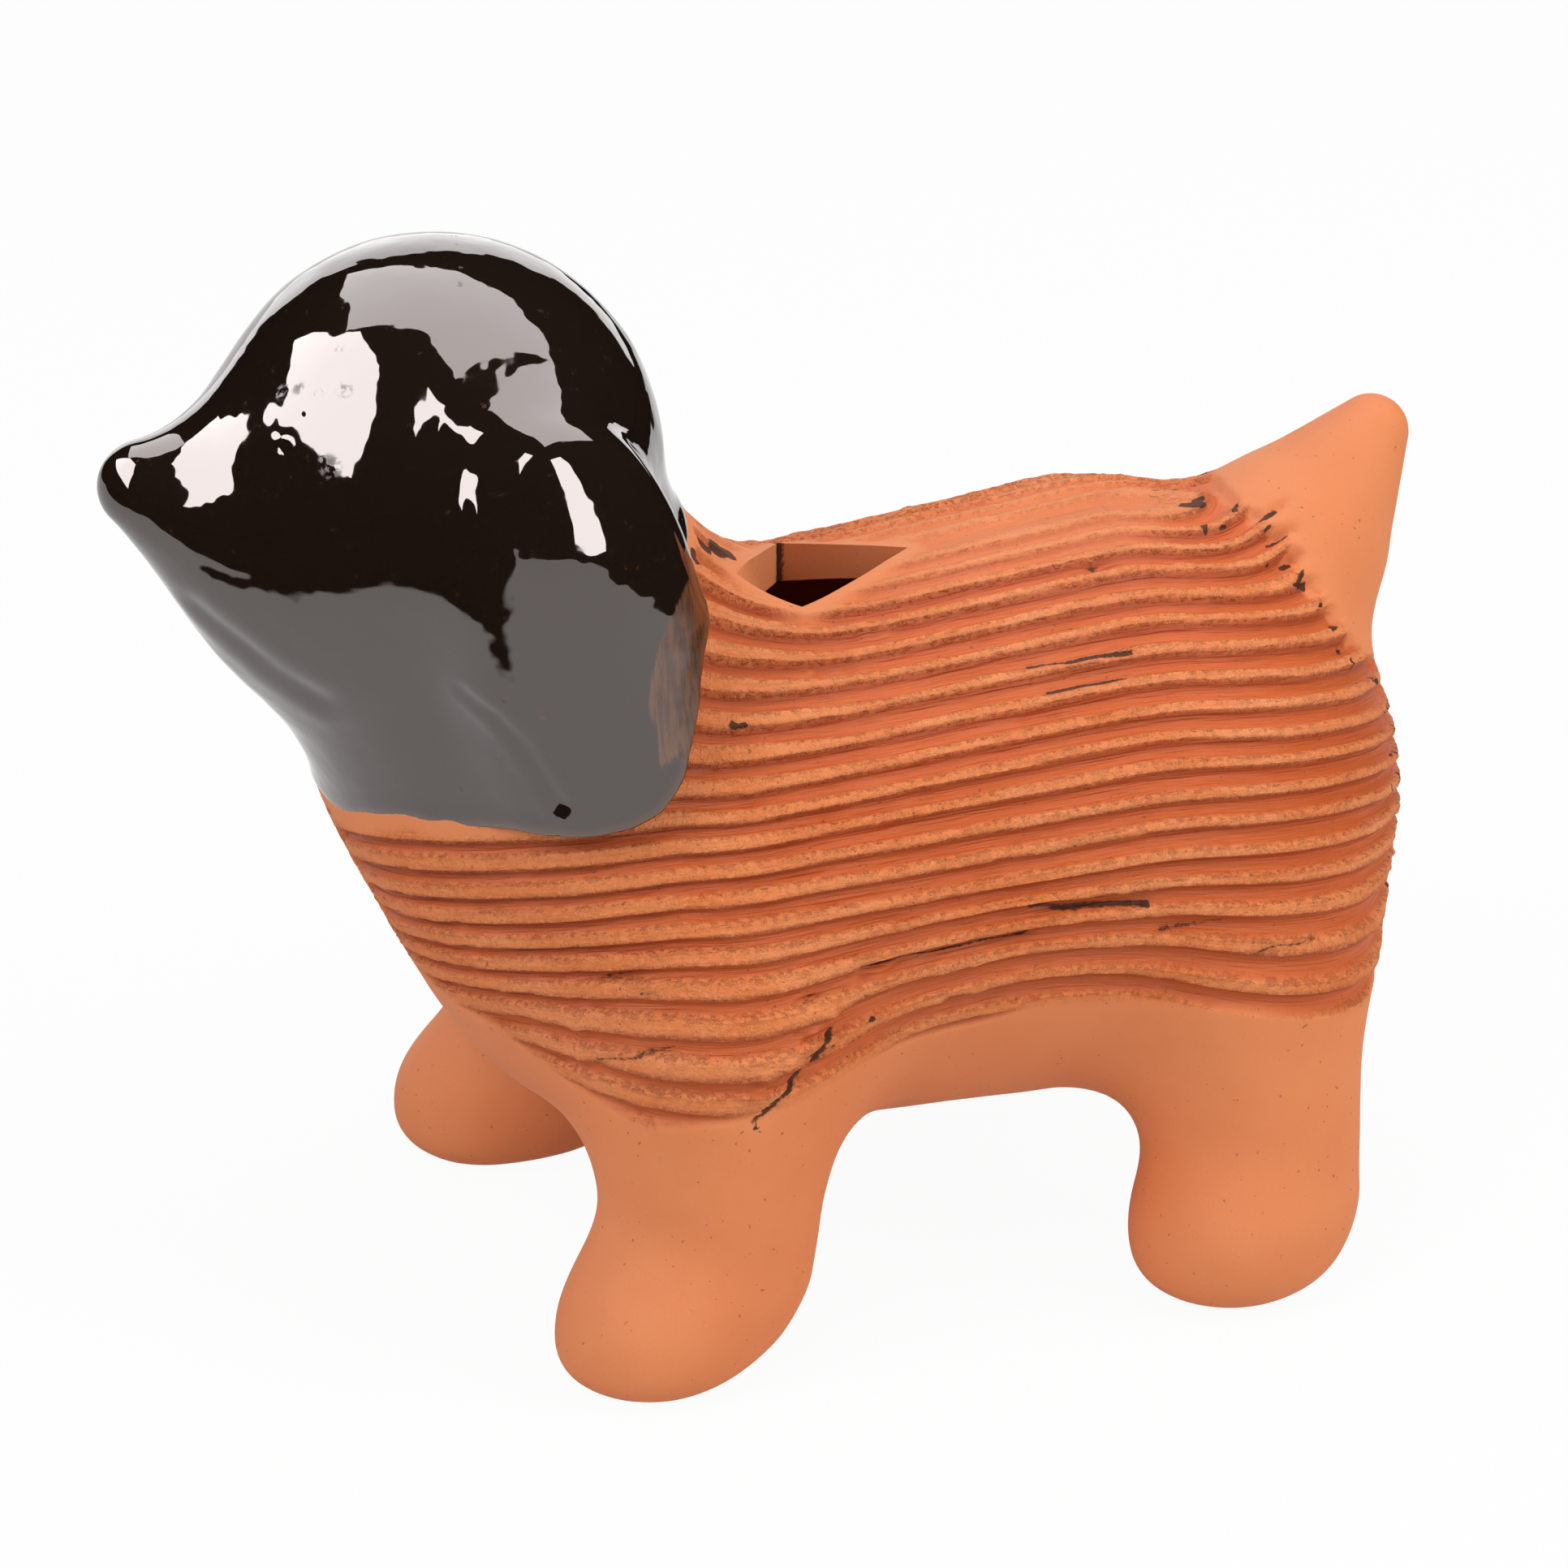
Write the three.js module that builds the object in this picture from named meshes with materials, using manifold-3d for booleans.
// A terracotta puppy planter: a hollow grooved body with a filling slot in its back, a hollow head dipped
// in dark glaze, two ears, four hollow legs and a short tail. Millimetres, +Z up, nose towards -X.
import * as THREE from "three";
import { mergeVertices } from "three/addons/utils/BufferGeometryUtils.js";
import Module from "manifold-3d";

const wasm = await Module();
wasm.setup();

// Walls, layers and clearances
const CLAY_WALL = 4.8;
const GLAZE_THICKNESS = 0.6;
const SEAT_GAP = 0.3;

// Body barrel: two balls and the skin between them, widened across
const CHEST_X = -13.7;
const CHEST_HEIGHT = 56.0;
const CHEST_RADIUS = 35.7;
const SPINE_LENGTH = 59.6;
const RUMP_HEIGHT = 58.0;
const RUMP_RADIUS = 39.3;
const BARREL_WIDENING = 1.13;

// Combed grooves that hold the seed paste. The ridges between them are given by their angle above the
// level of the spine on the flank, from the lowest up; they sag towards the breast and the rear.
const RIDGE_DEGREES = [
  -16.8, -10.9, -4.3, 1.6, 6.8, 11.6, 16.9, 21.7, 26.7, 31.5,
  36.7, 42.4, 48.5, 54.6, 60.7, 67.3, 73.2, 79.1, 84.8,
];
const RIDGE_SHARE = 0.36;
const GROOVE_DEPTH = 1.2;
const COMB_FLOOR = 43.5;
const SMOOTH_COLLAR = 3.0;
const SMOOTH_TAIL_ROOT = 4.0;
const GROOVE_FADE = 3.0;
const BREAST_SAG = { degrees: 16.6, starts: 10.3, reach: 48.6, power: 1.3 };
const REAR_SAG = { degrees: 15.3, starts: -9.9, reach: 55.7, power: 1.6 };
const SAG_FADE_DEGREES = 30;
const FLANK_RISE = { degrees: 4, along: 34, reach: 17, none: 11, full: -6 };
const TAIL_PULL = { starts: 63, perDegree: 0.0265, least: 0.3 };

// Filling slot cut through the ridge of the back: a crooked rhombus
const SLOT_FRONT_X = -7.5;
const SLOT_FRONT_SIDE = 8.5;
const SLOT_LENGTH = 26.5;
const SLOT_HALF_WIDTH = 11.0;
const SLOT_NEAR_CORNER = 8.0;
const SLOT_FAR_CORNER = 12.5;

// Neck and head, each placed from the piece before it
const NECK_FORWARD = 22.7;
const NECK_UP = 29.6;
const NECK_RADIUS = 23.2;
const CRANIUM_FORWARD = 8.5;
const CRANIUM_UP = 29.8;
const CRANIUM_RADIUS = 29.4;
const THROAT_FORWARD = 16.0;
const THROAT_DOWN = 12.7;
const THROAT_RADIUS = 9.7;
const JAW_FORWARD = 15.8;
const JAW_DOWN = 7.6;
const JAW_RADIUS = 16.0;
const MUZZLE_FORWARD = 38.1;
const MUZZLE_UP = 2.7;
const MUZZLE_RADIUS = 6.0;

// Ears: flat drops that hang from the sides of the cranium
const EAR_BACK = 10.4;
const EAR_DOWN = 12.4;
const EAR_SPREAD = 27.6;
const EAR_HALF_LENGTH = 15.7;
const EAR_HALF_THICKNESS = 9.2;
const EAR_HALF_HEIGHT = 26.5;
const EAR_TILT_DEGREES = 9;

// Edge of the dipped glaze, which is also the joint of head and body
const DIP_BELOW_EAR_CENTRE = 25.5;
const DIP_SLOPE_DEGREES = 5;
const DIP_BEHIND_CRANIUM = 0.5;
const DIP_NAPE_DOWN = 9.4;
const DIP_NAPE_LEAN_DEGREES = 23;
const DIP_CORNER = 14;

// Front legs, placed from the chest
const FRONT_HIP = { back: -3.3, spread: 28.8, height: 43.2, radius: 16.3 };
const FRONT_ANKLE = { back: -5.9, spread: 31.2, height: 14.0, radius: 13.9 };
const FRONT_PAW = { back: -15.0, spread: 34.8, height: 5.7, radius: 12.5 };

// Rear legs, placed from the rump
const REAR_HIP = { back: 8.7, spread: 29.7, height: 43.1, radius: 16.0 };
const REAR_ANKLE = { back: 9.7, spread: 35.1, height: 13.1, radius: 13.4 };
const REAR_PAW = { back: 3.9, spread: 37.3, height: 7.5, radius: 12.3 };

// Leg joints, wells and soles
const LEG_JOINT_HEIGHT = 38.0;
const WELL_RADIUS = 8.2;
const SHOULDER_OVERCUT = 2.0;
const SOLE_EDGE = 6.0;
const SOLE_PRESS = 0.8;

// Tail, placed from the top of the rump's own curve and pointing up and back
const TAIL_SEAT_DEGREES = 47.8;
const TAIL_BASE_OUT = 3.2;
const TAIL_BASE_RADIUS = 11.8;
const TAIL_TIP_BACK = 9.3;
const TAIL_TIP_UP = 12.3;
const TAIL_TIP_RADIUS = 5.2;

// Clay fillets where two forms run into each other
const NECK_FILLET = 24;
const JAW_FILLET = 14;
const EAR_FILLET = 9;
const PAW_FILLET = 8;
const LEG_FILLET = 12;
const TAIL_FILLET = 12;

// Counts of rows and columns in the surface grids
const SIDE_COLUMNS = 10;
const END_COLUMNS = 10;
const BELLY_ROWS = 8;
const CAVITY_ROWS = 12;
const HEAD_ROWS = 20;
const HEAD_COLUMNS = 28;
const NOSE_CROWDING = 1.3;
const LIMB_COLUMNS = 16;

const TERRACOTTA = { color: 0xd67e4c, roughness: 0.85, metalness: 0 };
const DARK_GLAZE = { color: 0x1a120c, roughness: 0.12, metalness: 0 };

const UP = new THREE.Vector3(0, 0, 1);

// Centres of the forms, worked out from the sizes above
const ball = (x, y, z, radius) => ({ centre: new THREE.Vector3(x, y, z), radius });
const rumpX = CHEST_X + SPINE_LENGTH;
const chest = ball(CHEST_X, 0, CHEST_HEIGHT, CHEST_RADIUS);
const rump = ball(rumpX, 0, RUMP_HEIGHT, RUMP_RADIUS);
const neck = ball(CHEST_X - NECK_FORWARD, 0, CHEST_HEIGHT + NECK_UP, NECK_RADIUS);
const cranium = placedFrom(neck, -CRANIUM_FORWARD, CRANIUM_UP, CRANIUM_RADIUS);
const throat = placedFrom(cranium, -THROAT_FORWARD, -THROAT_DOWN, THROAT_RADIUS);
const jaw = placedFrom(cranium, -JAW_FORWARD, -JAW_DOWN, JAW_RADIUS);
const muzzle = placedFrom(cranium, -MUZZLE_FORWARD, MUZZLE_UP, MUZZLE_RADIUS);
const tailSeat = THREE.MathUtils.degToRad(TAIL_SEAT_DEGREES);
const tailOut = RUMP_RADIUS + TAIL_BASE_OUT;
const tailBack = tailOut * Math.cos(tailSeat);
const tailUp = tailOut * Math.sin(tailSeat);
const tailBase = placedFrom(rump, tailBack, tailUp, TAIL_BASE_RADIUS);
const tailTip = placedFrom(tailBase, TAIL_TIP_BACK, TAIL_TIP_UP, TAIL_TIP_RADIUS);
const earCentre = new THREE.Vector3(EAR_BACK, EAR_SPREAD, -EAR_DOWN).add(cranium.centre);
const frontLeg = legFrom(CHEST_X, FRONT_HIP, FRONT_ANKLE, FRONT_PAW);
const rearLeg = legFrom(rumpX, REAR_HIP, REAR_ANKLE, REAR_PAW);

function placedFrom(parent, back, up, radius) {
  return ball(parent.centre.x + back, 0, parent.centre.z + up, radius);
}

function legFrom(x, hip, ankle, paw) {
  const placed = (part) => ball(x + part.back, part.spread, part.height, part.radius);
  return { hip: placed(hip), ankle: placed(ankle), paw: placed(paw) };
}

// Fields: the distance from a point to a form's surface, negative inside

// Joins two distances with a fillet that starts where they differ by less than its size.
function blend(a, b, fillet) {
  const share = Math.max(fillet - Math.abs(a - b), 0) / fillet;
  return Math.min(a, b) - (share * share * fillet) / 4;
}

function ballField(point, form) {
  return point.distanceTo(form.centre) - form.radius;
}

// A round cone: two balls of unlike radius and the straight skin that touches both.
function coneField(point, from, to) {
  const axis = to.centre.clone().sub(from.centre);
  const length = axis.length();
  const offset = point.clone().sub(from.centre);
  const along = offset.dot(axis) / length;
  const across = Math.sqrt(Math.max(offset.lengthSq() - along * along, 0));
  const taper = (from.radius - to.radius) / length;
  const skin = Math.sqrt(1 - taper * taper);
  const foot = along - (across * taper) / skin;
  if (foot < 0) return ballField(point, from);
  if (foot > length) return ballField(point, to);
  return across * skin + along * taper - from.radius;
}

function barrelField(point) {
  return coneField(new THREE.Vector3(point.x, point.y / BARREL_WIDENING, point.z), chest, rump);
}

function neckField(point) {
  return blend(coneField(point, neck, cranium), coneField(point, throat, neck), JAW_FILLET);
}

function skullField(point) {
  return blend(neckField(point), coneField(point, jaw, muzzle), JAW_FILLET);
}

const earTilt = THREE.MathUtils.degToRad(EAR_TILT_DEGREES);
const earRadii = new THREE.Vector3(EAR_HALF_LENGTH, EAR_HALF_THICKNESS, EAR_HALF_HEIGHT);

// An ellipsoid on either side; the distance is its usual first-order estimate.
function earField(point) {
  const local = new THREE.Vector3(point.x, Math.abs(point.y), point.z).sub(earCentre);
  local.applyAxisAngle(new THREE.Vector3(0, 1, 0), earTilt);
  const scaled = local.clone().divide(earRadii);
  const slope = scaled.clone().divide(earRadii).length();
  return (scaled.length() * (scaled.length() - 1)) / Math.max(slope, 1e-6);
}

function bodyField(point) {
  return blend(barrelField(point), neckField(point), NECK_FILLET);
}

function bareHeadField(point) {
  return blend(skullField(point), barrelField(point), NECK_FILLET);
}

function glazedHeadField(point) {
  const head = blend(skullField(point), earField(point), EAR_FILLET);
  return blend(head, barrelField(point), NECK_FILLET);
}

function limbField(point, leg) {
  return blend(coneField(point, leg.hip, leg.ankle), ballField(point, leg.paw), PAW_FILLET);
}

// The barrel drawn in to the floor of its grooves, so that a fillet runs out on the surface.
function sunkenBarrelField(point) {
  return barrelField(point) + GROOVE_DEPTH;
}

// A leg with its fillet to the body, pressed flat underneath with a round edge.
function seatedLegField(point, leg) {
  const joined = blend(limbField(point, leg), sunkenBarrelField(point), LEG_FILLET);
  return -blend(-joined, point.z + SOLE_PRESS, SOLE_EDGE);
}

// The body with the shoulders and haunches of its four legs, which the comb runs over too.
function trunkField(point) {
  const right = new THREE.Vector3(point.x, Math.abs(point.y), point.z);
  const legs = Math.min(seatedLegField(right, frontLeg), seatedLegField(right, rearLeg));
  return Math.max(Math.min(bodyField(point), legs), LEG_JOINT_HEIGHT - SHOULDER_OVERCUT - point.z);
}

function tailField(point) {
  return coneField(point, tailBase, tailTip);
}

function seatedTailField(point) {
  return blend(tailField(point), sunkenBarrelField(point), TAIL_FILLET);
}

// Glaze edge: a nearly level line under the ears that turns up behind them, seen from the side
const dipSlope = Math.tan(THREE.MathUtils.degToRad(DIP_SLOPE_DEGREES));
const dipLean = Math.tan(THREE.MathUtils.degToRad(DIP_NAPE_LEAN_DEGREES));
const dipHeight = (x) => earCentre.z - DIP_BELOW_EAR_CENTRE + (x - earCentre.x) * dipSlope;
const napeX = cranium.centre.x + CRANIUM_RADIUS + DIP_BEHIND_CRANIUM;
const dipBack = (z) => napeX + (z - cranium.centre.z + DIP_NAPE_DOWN) * dipLean;

// How far a point of the body lies from the glaze edge, measured in side view.
function dipClearance(point) {
  return Math.max(dipHeight(point.x) - point.z, point.x - dipBack(point.z));
}

// Surfaces: rays walk outwards from a spine until the field reads the wanted level

const WALK_STEPS = 90;
const WALK_TOLERANCE = 1e-4;

function walk(field, origin, direction, level, reach) {
  let travelled = 0;
  const point = origin.clone();
  for (let step = 0; step < WALK_STEPS; step += 1) {
    const left = level - field(point);
    travelled = Math.min(travelled + left, reach);
    point.copy(origin).addScaledVector(direction, travelled);
    if (Math.abs(left) < WALK_TOLERANCE || travelled >= reach) break;
  }
  return point;
}

// Rings of equal count joined into a closed skin; the first and last ring are drawn to a point or a seam.
function skinOf(rings) {
  const count = rings[0].length;
  const faces = [];
  for (let ring = 0; ring + 1 < rings.length; ring += 1) {
    for (let column = 0; column < count; column += 1) {
      const next = (column + 1) % count;
      const here = ring * count;
      const above = here + count;
      faces.push(here + column, here + next, above + next);
      faces.push(here + column, above + next, above + column);
    }
  }
  const skin = new THREE.BufferGeometry().setFromPoints(rings.flat());
  skin.setIndex(faces);
  return skin;
}

// Rows of equal elevation around the level spine of the body, with columns along its sides and ends.
function spineColumns(sideColumns, endColumns) {
  const columns = [];
  for (let end = 0; end < 2; end += 1) {
    const side = end === 0 ? -1 : 1;
    for (let step = 0; step < sideColumns; step += 1) {
      const share = end === 0 ? step / sideColumns : 1 - step / sideColumns;
      columns.push({ share, x: 0, y: side });
    }
    for (let step = 0; step < endColumns; step += 1) {
      const turn = (Math.PI * step) / endColumns;
      columns.push({ share: 1 - end, x: -side * Math.sin(turn), y: side * Math.cos(turn) });
    }
  }
  return columns;
}

const BODY_REACH = 200;
const barrelRadius = (CHEST_RADIUS + RUMP_RADIUS) / 2;

// How far a row sags, in degrees, a given way past the chest or the rump.
function sagPast(sag, way) {
  const part = THREE.MathUtils.clamp((way - sag.starts) / sag.reach, 0, 1);
  return sag.degrees * part ** sag.power;
}

// The real elevation of a row on a column: it sags at the breast and the rear, rises in the middle of
// the flank if it is low, and is drawn straight back to the tail if it is high.
function rowElevation(degrees, { share, x, y }) {
  const along = share * SPINE_LENGTH + barrelRadius * Math.asin(x);
  const fade = Math.min(1, (90 - Math.abs(degrees)) / SAG_FADE_DEGREES);
  const sag = sagPast(BREAST_SAG, -along) + sagPast(REAR_SAG, along - SPINE_LENGTH);
  const fallen = degrees - sag * fade;
  const low = THREE.MathUtils.clamp((FLANK_RISE.none - fallen) / (FLANK_RISE.none - FLANK_RISE.full), 0, 1);
  const bell = Math.exp(-(((along - FLANK_RISE.along) / FLANK_RISE.reach) ** 2));
  const risen = THREE.MathUtils.degToRad(fallen + FLANK_RISE.degrees * bell * low * fade);
  if (share < 1) return risen;
  const pull = Math.max(1 - TAIL_PULL.perDegree * Math.max(degrees - TAIL_PULL.starts, 0), TAIL_PULL.least);
  return Math.atan(Math.tan(risen) * Math.hypot(y, pull * x));
}

// The share of the full groove depth: nothing on the smooth collar, round the tail and above the legs.
function grooveShare(surface) {
  const past = (way, smooth) => THREE.MathUtils.smoothstep(way, smooth, smooth + GROOVE_FADE);
  const clearOfHead = past(dipClearance(surface), SMOOTH_COLLAR);
  const clearOfTail = past(tailField(surface), SMOOTH_TAIL_ROOT);
  return clearOfHead * clearOfTail * past(surface.z, COMB_FLOOR);
}

function spineSkin(field, rows, columns, base) {
  const rings = rows.map(({ degrees, isValley }) =>
    columns.map((column) => {
      const elevation = rowElevation(degrees, column);
      const level = Math.abs(degrees) === 90 ? 0 : Math.cos(elevation);
      const direction = new THREE.Vector3(level * column.x, level * column.y, Math.sin(elevation));
      const origin = chest.centre.clone().lerp(rump.centre, column.share);
      const surface = walk(field, origin, direction, base, BODY_REACH);
      if (!isValley) return surface;
      return walk(field, origin, direction, base - GROOVE_DEPTH * grooveShare(surface), BODY_REACH);
    }),
  );
  return skinOf(rings);
}

// Rows around a leaning spine, with a pole at each end.
function limbSkin(field, low, high, reach) {
  const axis = high.clone().sub(low).normalize();
  const side = new THREE.Vector3(1, 0, 0).addScaledVector(axis, -axis.x).normalize();
  const front = axis.clone().cross(side);
  const capRows = 5;
  const shaftRows = 5;
  const rows = [];
  for (let row = 0; row <= capRows; row += 1) {
    rows.push({ share: 0, elevation: (Math.PI / 2) * (row / capRows - 1) });
  }
  for (let row = 1; row < shaftRows; row += 1) rows.push({ share: row / shaftRows, elevation: 0 });
  for (let row = 0; row <= capRows; row += 1) {
    rows.push({ share: 1, elevation: (Math.PI / 2) * (row / capRows) });
  }
  const rings = rows.map(({ share, elevation }) => {
    const ring = [];
    for (let column = 0; column < LIMB_COLUMNS; column += 1) {
      const turn = (2 * Math.PI * column) / LIMB_COLUMNS;
      const level = Math.abs(Math.abs(elevation) - Math.PI / 2) < 1e-9 ? 0 : Math.cos(elevation);
      const direction = side.clone().multiplyScalar(level * Math.cos(turn));
      direction.addScaledVector(front, level * Math.sin(turn));
      direction.addScaledVector(axis, Math.sin(elevation));
      ring.push(walk(field, low.clone().lerp(high, share), direction, 0, reach));
    }
    return ring;
  });
  return skinOf(rings);
}

// Rows around the head from the tip of the nose to the back, seen from the middle of the cranium.
function headSkin(field, level, rowCount, columnCount) {
  const rings = [];
  for (let row = 0; row <= rowCount; row += 1) {
    const polar = Math.PI * (row / rowCount) ** NOSE_CROWDING;
    const width = row === 0 || row === rowCount ? 0 : Math.sin(polar);
    const ring = [];
    for (let column = 0; column < columnCount; column += 1) {
      const turn = (2 * Math.PI * column) / columnCount;
      const direction = new THREE.Vector3(-Math.cos(polar), width * Math.cos(turn), width * Math.sin(turn));
      ring.push(walk(field, cranium.centre, direction.normalize(), level, BODY_REACH));
    }
    rings.push(ring);
  }
  return skinOf(rings);
}

// Solids

function toSolid(geometry) {
  const bare = geometry.clone();
  bare.deleteAttribute("normal");
  bare.deleteAttribute("uv");
  const merged = mergeVertices(bare, 1e-4);
  const corners = merged.index.array;
  const faces = [];
  for (let i = 0; i < corners.length; i += 3) {
    const [a, b, c] = corners.subarray(i, i + 3);
    if (a !== b && b !== c && c !== a) faces.push(a, b, c);
  }
  const vertProperties = merged.attributes.position.array;
  return new wasm.Manifold(new wasm.Mesh({ numProp: 3, vertProperties, triVerts: new Uint32Array(faces) }));
}

function mainBody(solid) {
  return solid.decompose().reduce((best, body) => (body.volume() > best.volume() ? body : best));
}

function mirrored(geometry) {
  const copy = geometry.clone().applyMatrix4(new THREE.Matrix4().makeScale(1, -1, 1));
  const corners = copy.index.array;
  for (let i = 0; i < corners.length; i += 3) {
    [corners[i + 1], corners[i + 2]] = [corners[i + 2], corners[i + 1]];
  }
  return copy;
}

// A side-view outline pushed through the whole width of the planter.
function sideExtrusion(outline) {
  const span = 3 * Math.max(CHEST_RADIUS, RUMP_RADIUS) * BARREL_WIDENING;
  const block = new THREE.ExtrudeGeometry(outline, { depth: span, bevelEnabled: false, curveSegments: 6 });
  block.rotateX(Math.PI / 2);
  return toSolid(block.translate(0, span / 2, 0));
}

// Everything on the head's side of the glaze edge, drawn back from it by the given gap.
function headSide(gap) {
  const farAhead = muzzle.centre.x - 3 * CRANIUM_RADIUS;
  const farAbove = cranium.centre.z + 3 * CRANIUM_RADIUS;
  const cornerZ = (dipHeight(0) + dipSlope * dipBack(0)) / (1 - dipSlope * dipLean);
  const corner = new THREE.Vector2(dipBack(cornerZ) - gap, cornerZ + gap);
  const outline = new THREE.Shape();
  outline.moveTo(farAhead, dipHeight(farAhead) + gap);
  outline.lineTo(corner.x - DIP_CORNER, corner.y - DIP_CORNER * dipSlope);
  outline.quadraticCurveTo(corner.x, corner.y, corner.x + DIP_CORNER * dipLean, corner.y + DIP_CORNER);
  outline.lineTo(dipBack(farAbove) - gap, farAbove);
  outline.lineTo(farAhead, farAbove);
  return sideExtrusion(outline);
}

// A block that holds everything between two heights.
function heightBand(low, high) {
  const size = 6 * (CHEST_RADIUS + RUMP_RADIUS);
  const block = new THREE.BoxGeometry(size, size, high - low);
  return toSolid(block.translate(0, 0, (low + high) / 2));
}

const cavityColumns = spineColumns(SIDE_COLUMNS / 2, END_COLUMNS);
const skinColumns = spineColumns(SIDE_COLUMNS, END_COLUMNS);

// Rows without grooves, in even steps from the middle of the belly to a given angle.
function evenRows(count, top) {
  const rows = [];
  for (let row = 0; row < count; row += 1) {
    rows.push({ degrees: THREE.MathUtils.lerp(-90, top, row / count), isValley: false });
  }
  return rows;
}

// Rows of the combed skin: even steps under the belly, then a ridge edge, a valley and a ridge edge for
// each groove, up to the ridge of the back.
const combedRows = evenRows(BELLY_ROWS, RIDGE_DEGREES[0]);
[...RIDGE_DEGREES.slice(1), 90].forEach((upper, groove) => {
  const lower = RIDGE_DEGREES[groove];
  combedRows.push({ degrees: THREE.MathUtils.lerp(lower, upper, RIDGE_SHARE / 2), isValley: false });
  combedRows.push({ degrees: (lower + upper) / 2, isValley: true });
  combedRows.push({ degrees: THREE.MathUtils.lerp(upper, lower, RIDGE_SHARE / 2), isValley: false });
});
combedRows.push({ degrees: 90, isValley: false });
const smoothRows = combedRows.map(({ degrees }) => ({ degrees, isValley: false }));
const cavityRows = evenRows(CAVITY_ROWS, 90).concat({ degrees: 90, isValley: false });

const LEG_REACH = FRONT_HIP.radius + LEG_FILLET;
const TAIL_REACH = TAIL_BASE_RADIUS + TAIL_FILLET;

// Both legs of a pair: the outer form and the well inside it, on the right and mirrored to the left.
function legForms(leg) {
  const outer = limbSkin((point) => seatedLegField(point, leg), leg.ankle.centre, leg.hip.centre, LEG_REACH);
  const run = leg.hip.centre.clone().sub(leg.ankle.centre);
  const well = new THREE.CapsuleGeometry(WELL_RADIUS, run.length(), 4, 14);
  well.rotateX(Math.PI / 2);
  well.applyQuaternion(new THREE.Quaternion().setFromUnitVectors(UP, run.clone().normalize()));
  const middle = leg.ankle.centre.clone().lerp(leg.hip.centre, 0.5);
  well.translate(middle.x, middle.y, middle.z);
  return {
    left: { outer: toSolid(mirrored(outer)), well: toSolid(mirrored(well)) },
    right: { outer: toSolid(outer), well: toSolid(well) },
  };
}

const farUp = 4 * CHEST_HEIGHT;
const frontForms = legForms(frontLeg);
const rearForms = legForms(rearLeg);
const allForms = [frontForms.left, frontForms.right, rearForms.left, rearForms.right];
const bodyWithGap = toSolid(spineSkin(bodyField, smoothRows, skinColumns, SEAT_GAP));

// Rhombic slot that opens the ridge of the back into the cavity.
function slotSolid() {
  const outline = new THREE.Shape();
  outline.moveTo(SLOT_FRONT_X, -SLOT_FRONT_SIDE);
  outline.lineTo(SLOT_FRONT_X + SLOT_NEAR_CORNER, -SLOT_HALF_WIDTH);
  outline.lineTo(SLOT_FRONT_X + SLOT_LENGTH, 0);
  outline.lineTo(SLOT_FRONT_X + SLOT_FAR_CORNER, SLOT_HALF_WIDTH);
  const cut = new THREE.ExtrudeGeometry(outline, { depth: 2 * RUMP_RADIUS, bevelEnabled: false });
  return toSolid(cut.translate(0, 0, RUMP_HEIGHT));
}

function torsoShell() {
  const combed = toSolid(spineSkin(trunkField, combedRows, skinColumns, 0));
  const belly = toSolid(spineSkin(bodyField, smoothRows, skinColumns, 0));
  const cavity = toSolid(spineSkin(bodyField, cavityRows, cavityColumns, -CLAY_WALL));
  const aboveJoints = heightBand(LEG_JOINT_HEIGHT, farUp);
  const smoothShoulders = heightBand(LEG_JOINT_HEIGHT, COMB_FLOOR);
  let torso = combed.intersect(aboveJoints).add(belly.intersect(heightBand(0, LEG_JOINT_HEIGHT)));
  for (const form of allForms) torso = torso.add(form.outer.intersect(smoothShoulders));
  torso = torso.subtract(cavity).subtract(headSide(0)).subtract(slotSolid());
  for (const form of allForms) torso = torso.subtract(form.well);
  return mainBody(torso);
}

function legSolid(form) {
  const belowJoint = heightBand(0, LEG_JOINT_HEIGHT - SEAT_GAP);
  return mainBody(form.outer.intersect(belowJoint).subtract(bodyWithGap).subtract(form.well));
}

function tailSolid() {
  const outer = toSolid(limbSkin(seatedTailField, tailBase.centre, tailTip.centre, TAIL_REACH));
  return mainBody(outer.subtract(bodyWithGap));
}

const headRegion = headSide(SEAT_GAP);
const underGlaze = -(GLAZE_THICKNESS + SEAT_GAP);

function headShell() {
  const outer = toSolid(headSkin(bareHeadField, underGlaze, HEAD_ROWS, HEAD_COLUMNS));
  const cavity = toSolid(headSkin(bareHeadField, -CLAY_WALL, HEAD_ROWS / 2, HEAD_COLUMNS / 2));
  return mainBody(outer.subtract(cavity).intersect(headRegion));
}

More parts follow.
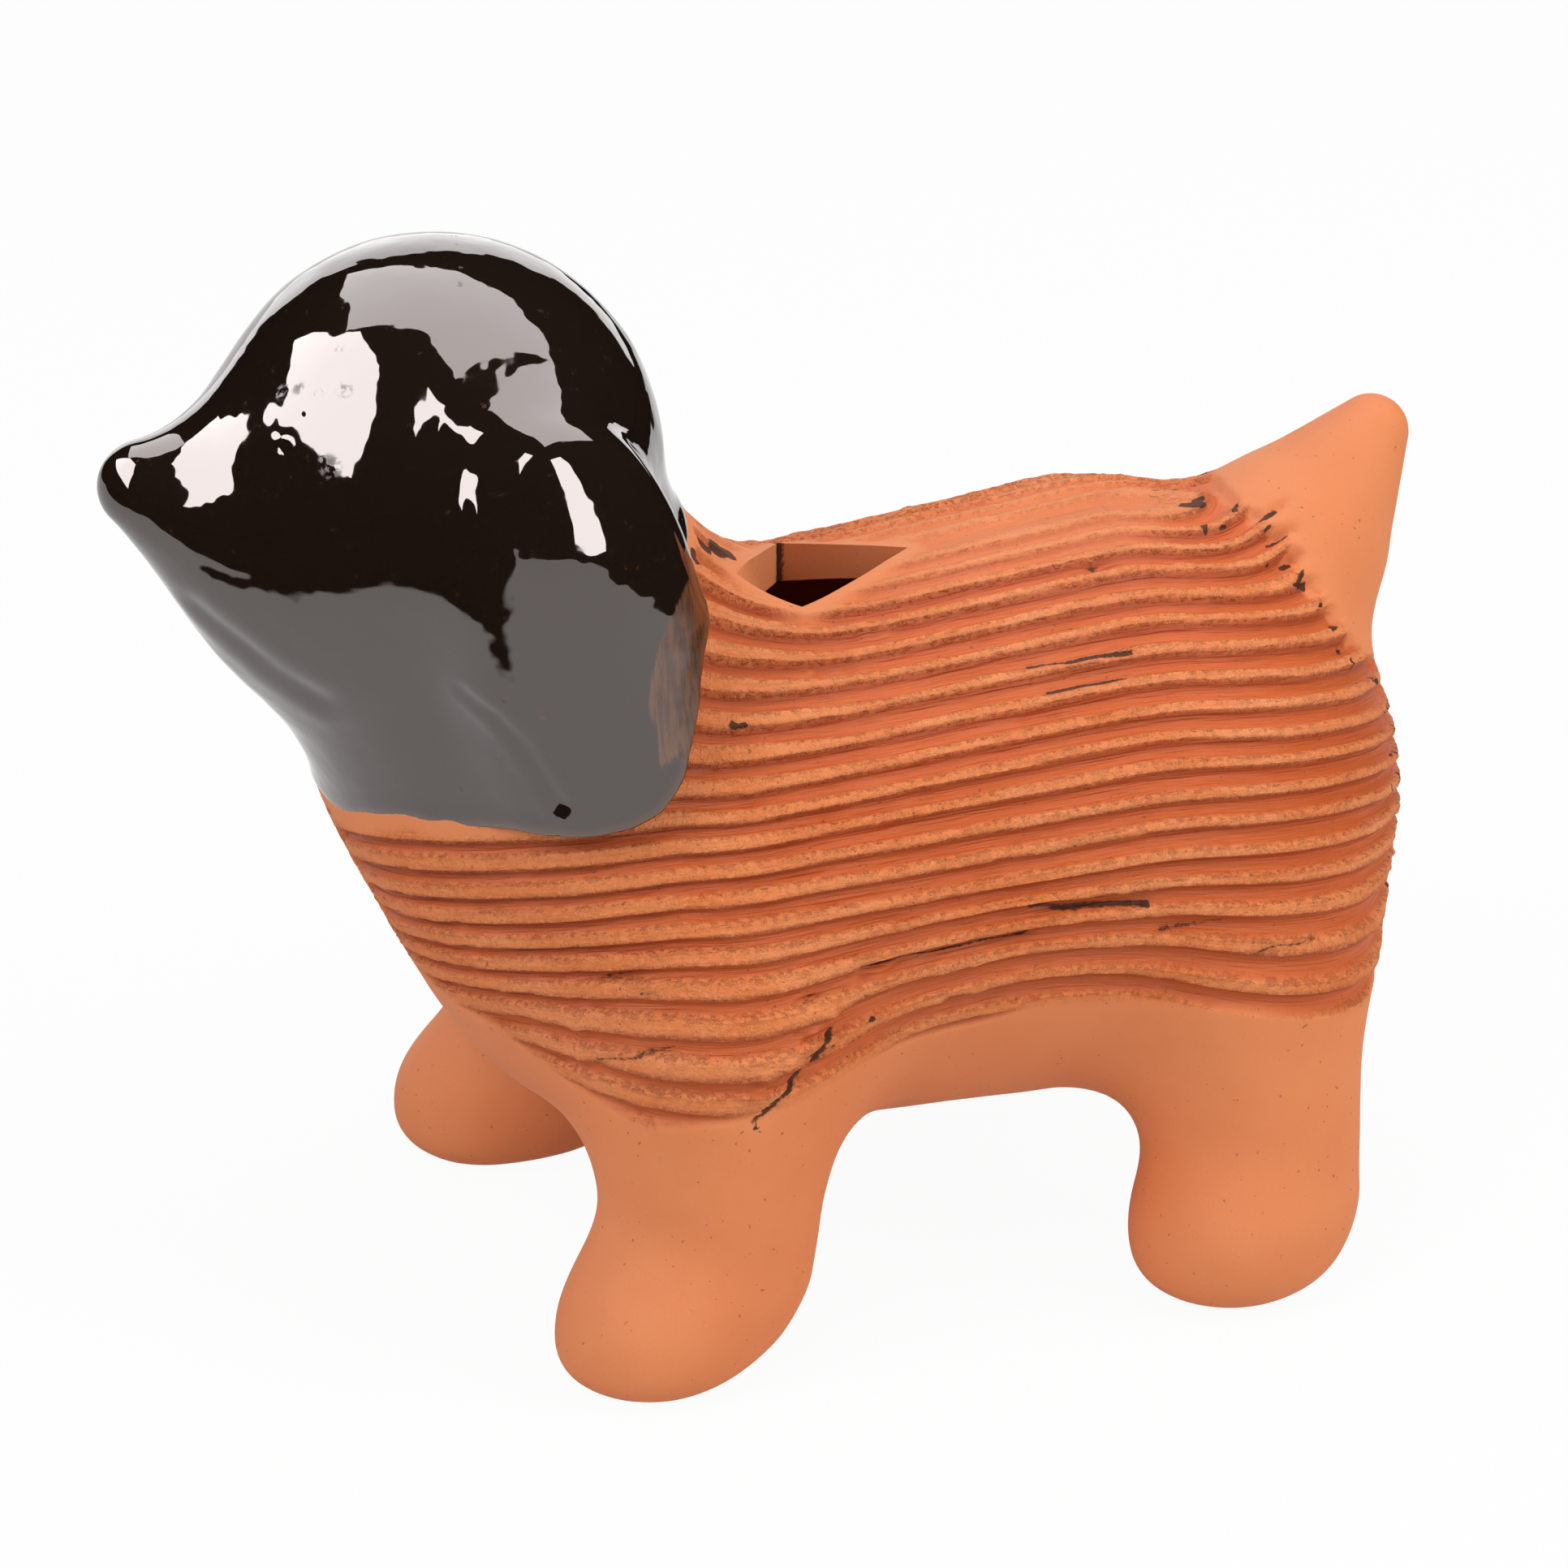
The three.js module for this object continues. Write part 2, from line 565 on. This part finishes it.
function glazeSkin() {
  const outer = toSolid(headSkin(glazedHeadField, 0, HEAD_ROWS, HEAD_COLUMNS));
  const inner = toSolid(headSkin(glazedHeadField, -GLAZE_THICKNESS, HEAD_ROWS, HEAD_COLUMNS));
  return mainBody(outer.subtract(inner).intersect(headRegion));
}

function earSolids() {
  const drop = new THREE.SphereGeometry(1, 20, 14);
  drop.scale(EAR_HALF_LENGTH, EAR_HALF_THICKNESS, EAR_HALF_HEIGHT);
  drop.rotateY(-earTilt).translate(earCentre.x, earCentre.y, earCentre.z);
  const room = toSolid(headSkin(glazedHeadField, underGlaze, HEAD_ROWS, HEAD_COLUMNS)).intersect(headRegion);
  const skull = toSolid(headSkin(bareHeadField, underGlaze + SEAT_GAP, HEAD_ROWS, HEAD_COLUMNS));
  const shape = (geometry) => mainBody(toSolid(geometry).intersect(room).subtract(skull));
  return { left: shape(mirrored(drop)), right: shape(drop) };
}

// A named mesh from a solid, in the shared frame.
function meshOf(name, solid, finish) {
  const { vertProperties, triVerts } = solid.getMesh();
  const geometry = new THREE.BufferGeometry();
  geometry.setAttribute("position", new THREE.BufferAttribute(new Float32Array(vertProperties), 3));
  geometry.setIndex(new THREE.BufferAttribute(new Uint32Array(triVerts), 1));
  geometry.computeVertexNormals();
  const mesh = new THREE.Mesh(geometry, new THREE.MeshStandardMaterial(finish));
  mesh.name = name;
  return mesh;
}

const planter = new THREE.Group();
const ears = earSolids();
planter.add(meshOf("torso_shell", torsoShell(), TERRACOTTA));
planter.add(meshOf("head_shell", headShell(), TERRACOTTA));
planter.add(meshOf("head_glaze", glazeSkin(), DARK_GLAZE));
planter.add(meshOf("ear_left", ears.left, TERRACOTTA));
planter.add(meshOf("ear_right", ears.right, TERRACOTTA));
planter.add(meshOf("front_left_leg", legSolid(frontForms.left), TERRACOTTA));
planter.add(meshOf("front_right_leg", legSolid(frontForms.right), TERRACOTTA));
planter.add(meshOf("rear_left_leg", legSolid(rearForms.left), TERRACOTTA));
planter.add(meshOf("rear_right_leg", legSolid(rearForms.right), TERRACOTTA));
planter.add(meshOf("tail", tailSolid(), TERRACOTTA));

export default planter;
